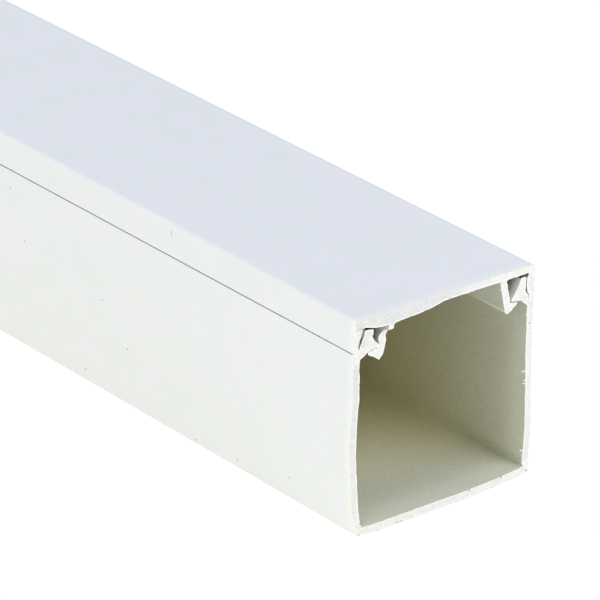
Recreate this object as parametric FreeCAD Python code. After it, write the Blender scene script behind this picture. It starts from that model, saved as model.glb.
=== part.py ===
import FreeCAD, Part
import math
import os

os.makedirs("parts", exist_ok=True)

# Square cord cover raceway: a U-shaped channel and the lid that clips over it.
# Both are extruded plastic, so each is one cross-section carried along the length.
# Millimetres. X runs along the length, Y across, Z up. The origin is under the middle, on the back face.

# Stock
stock_length = 1000.0
outer_width = 40.0
outer_height = 40.0

# Channel walls
channel_wall = 1.35
channel_floor = 1.4
channel_outer_radius = 0.35
channel_inner_radius = 0.4

# Lid walls: the skirts are thinner at their lower edges
lid_plate = 1.3
lid_corner_radius = 0.8
skirt_height = 6.3
skirt_root_wall = 1.55
skirt_edge_wall = 1.05
lid_root_radius = 0.2

# Fit of the lid on the channel
seam_gap = 0.15
skirt_clearance = 0.15
rail_side_gap = 0.45
rail_top_gap = 0.6
leg_clearance = 0.2
hook_clearance = 0.25
hook_engagement = 1.45
seam_edge_radius = 0.15

# Snap rail along the top of each channel wall
rail_top_thickness = 1.2
rail_top_radius = 0.35
rail_root_height = 0.6
rail_flare_height = 1.2
rail_root_radius = 0.5
rail_flare_radius = 0.8
barb_reach = 3.25
barb_height = 4.0
barb_steep_height = 1.7
barb_steep_run = 0.55
barb_lead_in_radius = 5.0
barb_tip_radius = 0.2
barb_undercut_run = 2.2
barb_undercut_rise = 0.3
undercut_radius = 0.3
throat_slope = math.radians(40.5)
throat_radius = 0.4

# Hooked legs under the lid
leg_wall = 1.42
leg_lean = math.radians(13.0)
hook_tip_height = 0.3
hook_tip_radius = 0.12
hook_lead_in = math.radians(37.0)
hook_toe_radius = 0.75
hook_root_radius = 0.15

# Heights and depths that both pieces share. A depth is counted inwards from the outer side face.
lid_underside = outer_height - lid_plate
skirt_edge = outer_height - skirt_height
shoulder = skirt_edge - seam_gap
rail_top = lid_underside - rail_top_gap
rail_root_depth = skirt_edge_wall + skirt_clearance
rail_outer_depth = skirt_root_wall + rail_side_gap
barb_tip_depth = rail_outer_depth + barb_reach
barb_tip_height = rail_top - barb_height
undercut_depth = barb_tip_depth - barb_undercut_run
undercut_height = barb_tip_height - barb_undercut_rise
undercut_slope = barb_undercut_rise / barb_undercut_run

LARGEST_SHARE_OF_A_RUN = 0.49


def unit(start, end):
    """Length and direction of the straight run from start to end."""
    run = math.hypot(end[0] - start[0], end[1] - start[1])
    return run, (end[0] - start[0]) / run, (end[1] - start[1]) / run


def rounded_wire(corners):
    """Closed wire in the plane across the length, through (across, up, radius) corners with tangent arcs."""
    lines = []
    for index, (y, z, radius) in enumerate(corners):
        run_in, in_y, in_z = unit(corners[index - 1], (y, z))
        run_out, out_y, out_z = unit((y, z), corners[(index + 1) % len(corners)])
        turn = math.acos(max(-1.0, min(1.0, in_y * out_y + in_z * out_z)))
        tangent = min(radius * math.tan(turn / 2), LARGEST_SHARE_OF_A_RUN * min(run_in, run_out))
        fitted = tangent / math.tan(turn / 2)
        inset = fitted / math.cos(turn / 2) - fitted
        _, mid_y, mid_z = unit((in_y, in_z), (out_y, out_z))
        lines.append((
            FreeCAD.Vector(0, y - in_y * tangent, z - in_z * tangent),
            FreeCAD.Vector(0, y + mid_y * inset, z + mid_z * inset),
            FreeCAD.Vector(0, y + out_y * tangent, z + out_z * tangent),
        ))
    edges = []
    for index, (start, middle, end) in enumerate(lines):
        edges.append(Part.LineSegment(lines[index - 1][2], start).toShape())
        edges.append(Part.Arc(start, middle, end).toShape())
    return Part.Wire(edges)


def both_sides(half):
    """The whole outline from its right half, given as (depth, height, radius) corners in order."""
    right = [(outer_width / 2 - depth, height, radius) for depth, height, radius in half]
    left = [(-y, z, radius) for y, z, radius in reversed(right)]
    return right + left


def extruded(outline):
    """The outline carried along the whole length, centred on the origin."""
    section = Part.Face(rounded_wire(outline))
    section.translate(FreeCAD.Vector(-stock_length / 2, 0, 0))
    return section.extrude(FreeCAD.Vector(stock_length, 0, 0))


def channel_half():
    """Outer wall, shoulder, snap rail with its barb, inner wall and floor, on one side."""
    throat_height = undercut_height - (undercut_depth - channel_wall) * math.tan(throat_slope)
    rail_inner_depth = rail_outer_depth + rail_top_thickness
    return [
        (0, 0, channel_outer_radius),
        (0, shoulder, seam_edge_radius),
        (rail_root_depth, shoulder, seam_edge_radius),
        (rail_root_depth, shoulder + rail_root_height, rail_root_radius),
        (rail_outer_depth, shoulder + rail_root_height + rail_flare_height, rail_flare_radius),
        (rail_outer_depth, rail_top, rail_top_radius),
        (rail_inner_depth, rail_top, rail_top_radius),
        (rail_inner_depth + barb_steep_run, rail_top - barb_steep_height, barb_lead_in_radius),
        (barb_tip_depth, barb_tip_height, barb_tip_radius),
        (undercut_depth, undercut_height, undercut_radius),
        (channel_wall, throat_height, throat_radius),
        (channel_wall, channel_floor, channel_inner_radius),
    ]


def lid_half():
    """Top plate, skirt and hooked leg, on one side. The leg leans outwards and hooks under the barb."""
    lean = math.tan(leg_lean)
    leg_across = leg_wall / math.cos(leg_lean)
    leg_at_barb = barb_tip_depth + leg_clearance
    leg_root = leg_at_barb + (lid_underside - barb_tip_height) * lean
    hook_tip_depth = barb_tip_depth - hook_engagement
    hook_tip = undercut_height - hook_clearance + (hook_tip_depth - undercut_depth) * undercut_slope
    hook_root = undercut_height - hook_clearance + (leg_at_barb - undercut_depth) * undercut_slope
    hook_root_depth = leg_at_barb + (hook_root - barb_tip_height) * lean
    hook_under = hook_tip - hook_tip_height
    lead_in = math.tan(hook_lead_in)
    inner_at_under = leg_at_barb + leg_across + (hook_under - barb_tip_height) * lean
    toe_drop = (inner_at_under - hook_tip_depth) * lead_in / (1 + lead_in * lean)
    return [
        (0, outer_height, lid_corner_radius),
        (0, skirt_edge, seam_edge_radius),
        (skirt_edge_wall, skirt_edge, seam_edge_radius),
        (skirt_root_wall, lid_underside, lid_root_radius),
        (leg_root, lid_underside, lid_root_radius),
        (hook_root_depth, hook_root, hook_root_radius),
        (hook_tip_depth, hook_tip, hook_tip_radius),
        (hook_tip_depth, hook_under, hook_tip_radius),
        (inner_at_under - toe_drop * lean, hook_under - toe_drop, hook_toe_radius),
        (leg_root + leg_across, lid_underside, lid_root_radius),
    ]


def make_channel():
    """The base that is fixed to the wall and holds the cords."""
    return extruded(both_sides(channel_half()))


def make_lid():
    """The cover, with its legs hooked under the barbs of the channel."""
    return extruded(both_sides(lid_half()))


for node, solid in {"channel": make_channel(), "lid": make_lid()}.items():
    solid.exportStep(f"parts/{node}.step")
    print(node, "valid", solid.isValid(), "volume", round(solid.Volume), "faces", len(solid.Faces))
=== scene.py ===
import math

import bpy
import numpy as np
from bpy.props import FloatProperty, FloatVectorProperty, PointerProperty
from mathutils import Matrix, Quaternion, Vector, geometry, noise


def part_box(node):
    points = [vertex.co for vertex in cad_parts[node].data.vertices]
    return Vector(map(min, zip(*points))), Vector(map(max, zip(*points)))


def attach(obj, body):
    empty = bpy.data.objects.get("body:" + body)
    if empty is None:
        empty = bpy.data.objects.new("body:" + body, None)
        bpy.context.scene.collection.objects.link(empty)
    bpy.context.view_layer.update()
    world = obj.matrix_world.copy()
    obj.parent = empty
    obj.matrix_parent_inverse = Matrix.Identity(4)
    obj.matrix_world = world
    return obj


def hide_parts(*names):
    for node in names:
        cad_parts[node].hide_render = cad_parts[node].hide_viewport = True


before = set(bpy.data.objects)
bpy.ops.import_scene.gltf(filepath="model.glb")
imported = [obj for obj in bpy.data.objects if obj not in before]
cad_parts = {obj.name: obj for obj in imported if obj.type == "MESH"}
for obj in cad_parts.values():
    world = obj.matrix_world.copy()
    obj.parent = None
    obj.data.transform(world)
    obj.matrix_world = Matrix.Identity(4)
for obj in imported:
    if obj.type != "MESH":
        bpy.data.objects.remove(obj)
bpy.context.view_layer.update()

bl_info = {
    "name": "Cord cover raceway",
    "version": (1, 0, 0),
    "blender": (4, 5, 0),
    "location": "3D View > Sidebar > Raceway",
    "description": "Square plastic cord cover: a U-shaped channel and its clip-on lid, with sawn ends",
    "category": "Object",
}

CHANNEL_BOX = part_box("channel")
LID_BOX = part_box("lid")
MM = 0.001

# Walls that the cuts and the grime refer to as well
CHANNEL_WALL = 1.35 * MM
CHANNEL_FLOOR = 1.4 * MM
LID_PLATE = 1.3 * MM

# Fine sizes of the snap rail and its barb
RAIL_ROOT_HEIGHT = 0.6 * MM
RAIL_ROOT_RADIUS = 0.5 * MM
RAIL_FLARE_TOP = 1.8 * MM
RAIL_FLARE_RADIUS = 0.8 * MM
RAIL_TOP_RADIUS = 0.35 * MM
BARB_STEEP_RUN = 0.55 * MM
BARB_STEEP_HEIGHT = 1.7 * MM
BARB_LEAD_IN_RADIUS = 5 * MM
BARB_TIP_RADIUS = 0.2 * MM
BARB_UNDERCUT_RUN = 2.2 * MM
BARB_UNDERCUT_RISE = 0.3 * MM
UNDERCUT_RADIUS = 0.3 * MM
THROAT_SLOPE = math.radians(40.5)
THROAT_RADIUS = 0.4 * MM

# Fine sizes of the lid's hooked legs, and their fit round the barbs
LEG_CLEARANCE = 0.2 * MM
HOOK_CLEARANCE = 0.25 * MM
HOOK_TIP_HEIGHT = 0.3 * MM
HOOK_TIP_RADIUS = 0.12 * MM
HOOK_LEAD_IN = math.radians(37)
HOOK_TOE_RADIUS = 0.75 * MM
HOOK_ROOT_RADIUS = 0.15 * MM
LID_ROOT_RADIUS = 0.2 * MM

# The sawn end that the photograph shows, in millimetres. Each pair is a place along a wall, then how far
# the cut stands out past the square end there: up the left wall, across the floor, up the right wall.
LEFT_WALL_CUT = (
    (1.2, 0.78), (1.5, 0.65), (2, 0.38), (3.2, 0.02), (6, -0.32), (9, -0.6), (12.3, -0.9), (15, -1.05),
    (19.5, -0.9), (22.5, -0.7), (24.5, -0.44), (29, -0.46), (34.4, -0.65), (36, -0.3), (38, 0.1),
)
FLOOR_CUT = (
    (-20, 1.15), (-18.7, 0.8), (-17.3, 1.42), (3, 1.45), (8.4, 1.17), (11.4, 1.0), (14.6, 0.67),
    (17.8, 0.33), (20, -0.2),
)
RIGHT_WALL_CUT = (
    (0, -0.55), (2.8, -0.16), (4.3, -0.05), (9, 0.14), (15, 0.02), (19, -0.12), (22, -0.25), (30, -0.3),
    (38, -0.1),
)
# The floor's cut leans: its lower edge stands out further than its upper one.
FLOOR_LEAN = 0.22
# Height over which the floor's cut passes into the walls' cuts.
FLOOR_CUT_BLEND = 0.35
# How much further the left snap rail stands out than the wall under it, from its root to its barb, and
# the height where the rail starts.
LEFT_RAIL_RISE = ((-18.6, 0), (-17.4, 0.5), (-14.5, 0.6))
LEFT_RAIL_FOOT = 32
# The lid's cut runs across its plate, along the top edge and along the underside, and down its left side.
PLATE_TOP_CUT = ((-20, -0.1), (-13, 0.25), (-5, 0.1), (20, 0))
PLATE_UNDERSIDE_CUT = (
    (-19.2, -0.1), (-17, 1.0), (-12, 1.0), (-9, 0.75), (-6.5, 0.7), (-3.4, 0.15), (4, 0.0), (9, 0),
    (12, 0.15), (20, 0),
)
LEFT_SKIRT_CUT = ((33.7, -0.7), (34.6, -0.6), (37.1, -0.42), (38.4, -0.1))
RIGHT_SKIRT_CUT = ((31, -0.25), (38, -0.1))
# The underside's cut has rounder bends. From this height down, over this blend, the plate's cut passes
# into the cuts of the skirts and the legs.
UNDERSIDE_ROUNDING = 1.2
PLATE_CUT_FOOT = 38.5
PLATE_CUT_BLEND = 0.2
# The left leg broke off behind a stub that hangs from the plate. The last value is the place across that
# parts the left skirt from the leg.
LEFT_LEG_CUT = ((31, -0.5), (34.5, -0.5), (36, -0.35), (36.9, 0.0))
LEFT_STUB_UNDERSIDE = 37.15
LEFT_SKIRT_INSIDE = -18.2
# The far end lies outside the photograph, so its cut wanders less, by one gentle curve that leans about
# the middle of the height.
FAR_CUT = ((-20, 0.3), (-6, -0.15), (8, 0.2), (20, -0.25))
FAR_CUT_LEAN = 0.4
MIDDLE_HEIGHT = 20
# Lines that the teeth left: their direction across the face, and the distance to one radian of their wave.
TOOTH_DIRECTION = (0.34, 0.94)
TOOTH_RADIAN = 0.42
# Slivers of plastic that hang on an inner edge: place across, height, length, rise to the tip, and width.
WALL_SLIVERS = (
    (18.75, 19.7, 1.3, 0.35, 0.26), (18.75, 17.3, 1.1, 0.65, 0.18), (18.75, 18.0, 0.8, 0.15, 0.14),
    (18.7, 4.4, 1.05, 0.28, 0.26), (18.75, 30.5, 0.55, 0.2, 0.2),
)
LEG_SLIVERS = ((12.55, 36.9, 0.75, 0.35, 0.2),)
# Every sliver: thickness and lower edge's set-back at its root, the shares of its length and of its rise
# where it bends, and how far its bend and its tip stand out.
SLIVER_THICKNESS = 0.25
SLIVER_SET_BACK = 0.02
SLIVER_BEND = (0.6, 0.45)
SLIVER_STAND_OUT = (0.05, 0.12)
# Dirt specks on the left side of the channel: place along the stock, and height.
SIDE_SPECKS = (
    (400.6, 30.0), (404.8, 20.9), (423.4, 2.1), (428.6, 17.8), (436.1, 10.9), (456.2, 0.8), (468.2, 1.6),
    (482.8, 3.9),
)
# Dark bits in the sawn edges of the floor and the right wall, part dirt and part painted shadow of tiny
# burrs: place across, and height.
CUT_SPECKS_AND_BURR_SHADOWS = ((-18.62, 1.8), (5.25, 1.2), (12.9, 1.25), (19.5, 0.35), (19.4, 28.75))
FAINT_CUT_SPECKS_AND_BURR_SHADOWS = ((-15.6, 0.1), (-8.2, 0.12), (-6.0, 0.1), (2.0, 0.1), (2.5, 0.1), (4.7, 0.5))
# Tan grit pressed into the lower edge of the floor's cut.
GRIT = ((-19.4, 0.1), (-11.2, 0.12), (-10.3, 0.12))
# A speck on the right wall's inner face: place along the stock, and height.
WALL_SPECK = (489.0, 26.3)
# A short scratch on the left skirt: place along the stock and height, then its half sizes.
SKIRT_SCRATCH = ((448.9, 38.3), (0.08, 0.3, 0.55))
# Seeds of the grain at the sawn ends, and the sawn faces' brightness left and right of a bend across them:
# painted shade, darker on the left.
CHANNEL_SEED = 3
LID_SEED = 11
CHANNEL_SAWN_SHADES = (0.91, 0.95)
CHANNEL_SAWN_BEND = 5
LID_SAWN_SHADES = (0.83, 0.96)
LID_SAWN_BEND = 3


class StockSizes(bpy.types.PropertyGroup):
    """Section of the channel and of the lid, and how both fit together."""

    channel_wall: FloatProperty(
        name="Channel wall", description="Thickness of the channel's side walls",
        default=CHANNEL_WALL, unit="LENGTH")
    channel_floor: FloatProperty(
        name="Channel floor", description="Thickness of the back that goes against the wall",
        default=CHANNEL_FLOOR, unit="LENGTH")
    outer_radius: FloatProperty(
        name="Back corner radius", description="Radius of the channel's two back corners",
        default=0.35 * MM, unit="LENGTH")
    inner_radius: FloatProperty(
        name="Inner corner radius", description="Radius between the channel's floor and its walls",
        default=0.1 * MM, unit="LENGTH")
    lid_plate: FloatProperty(
        name="Lid plate", description="Thickness of the lid's flat top",
        default=LID_PLATE, unit="LENGTH")
    lid_corner_radius: FloatProperty(
        name="Lid corner radius", description="Radius of the lid's long outer edges",
        default=0.8 * MM, unit="LENGTH")
    skirt_root_wall: FloatProperty(
        name="Skirt root", description="Thickness of the lid's skirt where it meets the plate",
        default=1.55 * MM, unit="LENGTH")
    skirt_edge_wall: FloatProperty(
        name="Skirt edge", description="Thickness of the lid's skirt at its lower edge",
        default=1.05 * MM, unit="LENGTH")
    skirt_height: FloatProperty(
        name="Skirt height", description="Height of the lid's side, from its top to the seam",
        default=6.3 * MM, unit="LENGTH")
    seam_gap: FloatProperty(
        name="Seam gap", description="Gap between the skirt's edge and the channel's shoulder",
        default=0.15 * MM, unit="LENGTH")
    seam_edge_radius: FloatProperty(
        name="Seam edge radius", description="Radius of the edges along the seam",
        default=0.15 * MM, unit="LENGTH")
    rail_root_depth: FloatProperty(
        name="Rail root depth", description="Depth of the snap rail's root behind the side face",
        default=1.2 * MM, unit="LENGTH")
    rail_outer_depth: FloatProperty(
        name="Rail depth", description="Depth of the snap rail's outer face behind the side face",
        default=2.0 * MM, unit="LENGTH")
    rail_top_thickness: FloatProperty(
        name="Rail top", description="Thickness of the snap rail at its top",
        default=1.2 * MM, unit="LENGTH")
    barb_reach: FloatProperty(
        name="Barb reach", description="How far the barb's tip lies inside the rail's outer face",
        default=3.25 * MM, unit="LENGTH")
    barb_height: FloatProperty(
        name="Barb height", description="Height of the rail's top over the barb's tip",
        default=4.0 * MM, unit="LENGTH")
    leg_wall: FloatProperty(
        name="Leg wall", description="Thickness of the lid's hooked legs",
        default=1.42 * MM, unit="LENGTH")
    leg_lean: FloatProperty(
        name="Leg lean", description="Angle by which the lid's legs lean outwards",
        default=math.radians(13), subtype="ANGLE")
    hook_engagement: FloatProperty(
        name="Hook engagement", description="How far the hook reaches under the barb",
        default=1.45 * MM, unit="LENGTH")


class CutLook(bpy.types.PropertyGroup):
    """How finely the pieces are meshed, and what the saw left at their ends."""

    outline_step: FloatProperty(
        name="Outline step", description="Distance between points along a section's straight runs",
        default=0.17 * MM, unit="LENGTH")
    face_step: FloatProperty(
        name="Cut face step", description="Distance between points across a sawn face",
        default=0.2 * MM, unit="LENGTH")
    first_ring: FloatProperty(
        name="First ring", description="Distance from the sawn end to the first ring of points",
        default=0.06 * MM, unit="LENGTH")
    ring_growth: FloatProperty(
        name="Ring growth", description="How much longer each next step along the stock is",
        default=1.5, min=1.01)
    wander_reach: FloatProperty(
        name="Wander reach", description="Length of stock over which the cut's wander dies out",
        default=10.0 * MM, unit="LENGTH")
    drag_reach: FloatProperty(
        name="Drag reach", description="Length of stock over which the plastic dragged by the saw dies out",
        default=0.9 * MM, unit="LENGTH")
    rag: FloatProperty(
        name="Raggedness", description="How far the sawn edge strays from its line",
        default=0.055 * MM, unit="LENGTH")
    lip: FloatProperty(
        name="Lip", description="How far the sawn edge is pushed in or out across the section",
        default=0.07 * MM, unit="LENGTH")
    tooth_marks: FloatProperty(
        name="Tooth marks", description="Depth of the marks that the teeth left across the cut",
        default=0.05 * MM, unit="LENGTH")


class PlasticLook(bpy.types.PropertyGroup):
    """Colours and finish of the plastic."""

    skin: FloatVectorProperty(
        name="Outer skin", description="Colour of the smooth outer faces",
        default=(0.855, 0.862, 0.812), subtype="COLOR", size=3)
    skin_rim: FloatVectorProperty(
        name="Outer rim", description="Colour of the outer faces along the sawn edges",
        default=(0.93, 0.915, 0.815), subtype="COLOR", size=3)
    # Painted shade: inside the duct the skin is darker and yellower than outside, yellower still away from
    # its ends.
    inner: FloatVectorProperty(
        name="Inner skin", description="Colour of the faces inside the duct, at its ends",
        default=(0.735, 0.735, 0.605), subtype="COLOR", size=3)
    inner_deep_shade: FloatVectorProperty(
        name="Deep inner skin", description="Colour of the faces inside the duct, away from its ends",
        default=(0.752, 0.71, 0.48), subtype="COLOR", size=3)
    sawn: FloatVectorProperty(
        name="Sawn face", description="Colour of the roughened cut faces",
        default=(0.895, 0.868, 0.79), subtype="COLOR", size=3)
    # Painted shade in the narrow pockets round the snap rails: light at the duct's ends, dark a few
    # millimetres in.
    pocket: FloatVectorProperty(
        name="Pockets", description="Colour of the narrow pockets round the snap rails, at the duct's ends",
        default=(0.93, 0.92, 0.82), subtype="COLOR", size=3)
    pocket_deep_shade: FloatVectorProperty(
        name="Deep pockets", description="Colour of the narrow pockets, away from the duct's ends",
        default=(0.36, 0.35, 0.27), subtype="COLOR", size=3)
    # Painted light: a pale line along the rounded toes under the lid's legs, brightest at the duct's ends.
    toe: FloatVectorProperty(
        name="Toe", description="Colour of the rounded toes under the lid's legs, at the duct's ends",
        default=(1.0, 0.98, 0.83), subtype="COLOR", size=3)
    toe_deep_light: FloatVectorProperty(
        name="Deep toe", description="Colour of the rounded toes, away from the duct's ends",
        default=(0.82, 0.79, 0.6), subtype="COLOR", size=3)
    # Painted shade: share of the colour left along the duct's inner corners near its ends.
    corner_painted_shade: FloatProperty(
        name="Corner shade", description="Share of the colour left in the duct's grimy inner corners",
        default=0.86, subtype="FACTOR")
    # Painted shade in the seam's gap and over the snap rails.
    seam: FloatVectorProperty(
        name="Seam", description="Colour of the dust caught in the seam",
        default=(0.09, 0.088, 0.08), subtype="COLOR", size=3)
    speck: FloatVectorProperty(
        name="Specks", description="Colour of the small dirt specks",
        default=(0.2, 0.19, 0.17), subtype="COLOR", size=3)
    grit: FloatVectorProperty(
        name="Grit", description="Colour of the grit in the floor's cut",
        default=(0.52, 0.49, 0.34), subtype="COLOR", size=3)
    speck_size: FloatProperty(
        name="Speck size", description="Radius of the small dirt specks", default=0.16 * MM, unit="LENGTH")
    roughness: FloatProperty(
        name="Roughness", description="Roughness of the extruded skin", default=0.5, subtype="FACTOR")
    sawn_roughness: FloatProperty(
        name="Sawn roughness", description="Roughness of the cut faces", default=0.75, subtype="FACTOR")


class StageLook(bpy.types.PropertyGroup):
    """Camera, floor and lights."""

    camera_place: FloatVectorProperty(
        name="Camera place", description="Where the camera stands",
        default=(1.0979, -0.5187, 0.4019), subtype="TRANSLATION", size=3)
    camera_target: FloatVectorProperty(
        name="Camera target", description="Point on the left side that the camera looks at",
        default=(0.48488, -0.02, 0.03857), subtype="TRANSLATION", size=3)
    camera_roll: FloatProperty(
        name="Camera roll", description="Turn of the camera about its line of sight",
        default=math.radians(0.93), subtype="ANGLE")
    lens: FloatProperty(
        name="Lens", description="Focal length on a 36 mm sensor, in millimetres", default=306.5)
    floor_size: FloatProperty(
        name="Floor size", description="Length of the floor's sides", default=60.0, unit="LENGTH")
    floor_white: FloatProperty(
        name="Floor white", description="Share of plain white that the camera sees in the floor",
        default=0.86, subtype="FACTOR")
    ambient: FloatVectorProperty(
        name="Ambient light", description="Colour and level of the light from all round",
        default=(0.336, 0.377, 0.5), subtype="COLOR", size=3)
    light_level: FloatProperty(
        name="Light level", description="Factor on the strength of every lamp", default=1.0, min=0.0)


class RacewaySettings(bpy.types.PropertyGroup):
    """Everything that the operators read."""

    sizes: PointerProperty(type=StockSizes)
    cut: PointerProperty(type=CutLook)
    plastic: PointerProperty(type=PlasticLook)
    stage: PointerProperty(type=StageLook)


# Section outlines

def unit(start, end):
    """Length and direction of the straight run from start to end."""
    run = math.hypot(end[0] - start[0], end[1] - start[1])
    return run, (end[0] - start[0]) / run, (end[1] - start[1]) / run


def corner_arc(before, corner, after, radius, most_of_run=0.49, turn_per_point=math.radians(15)):
    """Points of the tangent arc that rounds one corner."""
    run_in, in_y, in_z = unit(before, corner)
    run_out, out_y, out_z = unit(corner, after)
    turn = math.acos(max(-1.0, min(1.0, in_y * out_y + in_z * out_z)))
    side = 1 if in_y * out_z - in_z * out_y > 0 else -1
    tangent = min(radius * math.tan(turn / 2), most_of_run * min(run_in, run_out))
    fitted = tangent / math.tan(turn / 2)
    start = (corner[0] - in_y * tangent, corner[1] - in_z * tangent)
    centre = (start[0] - in_z * fitted * side, start[1] + in_y * fitted * side)
    first = math.atan2(start[1] - centre[1], start[0] - centre[0])
    count = max(2, math.ceil(turn / turn_per_point))
    angles = [first + side * turn * k / count for k in range(count + 1)]
    return [(centre[0] + fitted * math.cos(a), centre[1] + fitted * math.sin(a)) for a in angles]


def outline_points(corners, step):
    """Closed outline through (across, up, radius) corners, with its straight runs cut into equal steps."""
    arcs = []
    for index, (y, z, radius) in enumerate(corners):
        after = corners[(index + 1) % len(corners)]
        arcs.append(corner_arc(corners[index - 1], (y, z), after, radius))
    points = []
    for index, arc in enumerate(arcs):
        start = arcs[index - 1][-1]
        count = max(1, round(unit(start, arc[0])[0] / step))
        for k in range(1, count):
            points.append((start[0] + (arc[0][0] - start[0]) * k / count,
                           start[1] + (arc[0][1] - start[1]) * k / count))
        points.extend(arc)
    return np.array(points)


def both_sides(half):
    """The whole outline from its right half, given as (depth, height, radius) corners in order."""
    half_width = CHANNEL_BOX[1].y
    right = [(half_width - depth, height, radius) for depth, height, radius in half]
    left = [(-y, z, radius) for y, z, radius in reversed(right)]
    return right + left


def barb_points(sizes):
    """Depth and height of the barb's tip and of its undercut, which both pieces are fitted to."""
    tip = (sizes.rail_outer_depth + sizes.barb_reach, CHANNEL_BOX[1].z - sizes.barb_height)
    undercut = (tip[0] - BARB_UNDERCUT_RUN, tip[1] - BARB_UNDERCUT_RISE)
    return tip, undercut


def channel_half(sizes):
    """Outer wall, shoulder, snap rail with its barb, inner wall and floor, on one side."""
    tip, undercut = barb_points(sizes)
    rail_top = CHANNEL_BOX[1].z
    shoulder = LID_BOX[1].z - sizes.skirt_height - sizes.seam_gap
    rail_inner_depth = sizes.rail_outer_depth + sizes.rail_top_thickness
    throat_height = undercut[1] - (undercut[0] - sizes.channel_wall) * math.tan(THROAT_SLOPE)
    return [
        (0, 0, sizes.outer_radius),
        (0, shoulder, sizes.seam_edge_radius),
        (sizes.rail_root_depth, shoulder, sizes.seam_edge_radius),
        (sizes.rail_root_depth, shoulder + RAIL_ROOT_HEIGHT, RAIL_ROOT_RADIUS),
        (sizes.rail_outer_depth, shoulder + RAIL_FLARE_TOP, RAIL_FLARE_RADIUS),
        (sizes.rail_outer_depth, rail_top, RAIL_TOP_RADIUS),
        (rail_inner_depth, rail_top, RAIL_TOP_RADIUS),
        (rail_inner_depth + BARB_STEEP_RUN, rail_top - BARB_STEEP_HEIGHT, BARB_LEAD_IN_RADIUS),
        (*tip, BARB_TIP_RADIUS),
        (*undercut, UNDERCUT_RADIUS),
        (sizes.channel_wall, throat_height, THROAT_RADIUS),
        (sizes.channel_wall, sizes.channel_floor, sizes.inner_radius),
    ]


def lid_half(sizes):
    """Top plate, skirt and hooked leg, on one side. The leg leans outwards and hooks under the barb."""
    tip, undercut = barb_points(sizes)
    top = LID_BOX[1].z
    underside = top - sizes.lid_plate
    skirt_edge = top - sizes.skirt_height
    lean = math.tan(sizes.leg_lean)
    leg_across = sizes.leg_wall / math.cos(sizes.leg_lean)
    leg_at_barb = tip[0] + LEG_CLEARANCE
    leg_root = leg_at_barb + (underside - tip[1]) * lean
    slope = (tip[1] - undercut[1]) / (tip[0] - undercut[0])
    hook_top = undercut[1] - HOOK_CLEARANCE
    hook_depth = tip[0] - sizes.hook_engagement
    hook_tip = hook_top + (hook_depth - undercut[0]) * slope
    hook_root = hook_top + (leg_at_barb - undercut[0]) * slope
    hook_under = hook_tip - HOOK_TIP_HEIGHT
    lead_in = math.tan(HOOK_LEAD_IN)
    inner_at_under = leg_at_barb + leg_across + (hook_under - tip[1]) * lean
    toe_drop = (inner_at_under - hook_depth) * lead_in / (1 + lead_in * lean)
    return [
        (0, top, sizes.lid_corner_radius),
        (0, skirt_edge, sizes.seam_edge_radius),
        (sizes.skirt_edge_wall, skirt_edge, sizes.seam_edge_radius),
        (sizes.skirt_root_wall, underside, LID_ROOT_RADIUS),
        (leg_root, underside, LID_ROOT_RADIUS),
        (leg_at_barb + (hook_root - tip[1]) * lean, hook_root, HOOK_ROOT_RADIUS),
        (hook_depth, hook_tip, HOOK_TIP_RADIUS),
        (hook_depth, hook_under, HOOK_TIP_RADIUS),
        (inner_at_under - toe_drop * lean, hook_under - toe_drop, HOOK_TOE_RADIUS),
        (leg_root + leg_across, underside, LID_ROOT_RADIUS),
    ]


# What the saw did

def along(pairs, place, blur=0.3):
    """Value at a place, both in metres, from (place, value) pairs in millimetres, with rounded bends."""
    places, values = zip(*pairs)
    shifts = np.linspace(-blur, blur, 5)
    return np.mean([np.interp(place / MM + shift, places, values) for shift in shifts], axis=0) * MM


def smooth(share):
    """0 to 1 with level ends."""
    share = np.clip(share, 0, 1)
    return share * share * (3 - 2 * share)


def channel_cut(y, z):
    """How far the near cut stands out at points of the channel's section."""
    blend = FLOOR_CUT_BLEND * MM
    on_floor = along(FLOOR_CUT, y) + FLOOR_LEAN * MM * np.clip(1 - z / CHANNEL_FLOOR, 0, 1)
    left = along(LEFT_WALL_CUT, z) + np.where(z > LEFT_RAIL_FOOT * MM, along(LEFT_RAIL_RISE, y), 0)
    on_wall = np.where(y < 0, left, along(RIGHT_WALL_CUT, z))
    return on_wall + (on_floor - on_wall) * smooth((CHANNEL_FLOOR + blend - z) / blend)


def lid_cut(y, z):
    """How far the near cut stands out at points of the lid's section: sloped plate, broken left leg."""
    share = np.clip((LID_BOX[1].z - z) / LID_PLATE, 0, 1)
    on_underside = along(PLATE_UNDERSIDE_CUT, y, UNDERSIDE_ROUNDING)
    on_plate = along(PLATE_TOP_CUT, y) * (1 - share) + on_underside * share
    on_leg = y > LEFT_SKIRT_INSIDE * MM
    left_side = np.where(y < LEFT_SKIRT_INSIDE * MM, along(LEFT_SKIRT_CUT, z), along(LEFT_LEG_CUT, z))
    below = np.where(y < 0, left_side, along(RIGHT_SKIRT_CUT, z))
    foot = np.where((y < 0) & on_leg, LEFT_STUB_UNDERSIDE * MM, PLATE_CUT_FOOT * MM)
    return on_plate + (below - on_plate) * smooth((foot - z) / (PLATE_CUT_BLEND * MM))


def far_cut(y, z):
    """How far the far cut stands out."""
    return along(FAR_CUT, y + FAR_CUT_LEAN * (z - MIDDLE_HEIGHT * MM))


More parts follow.
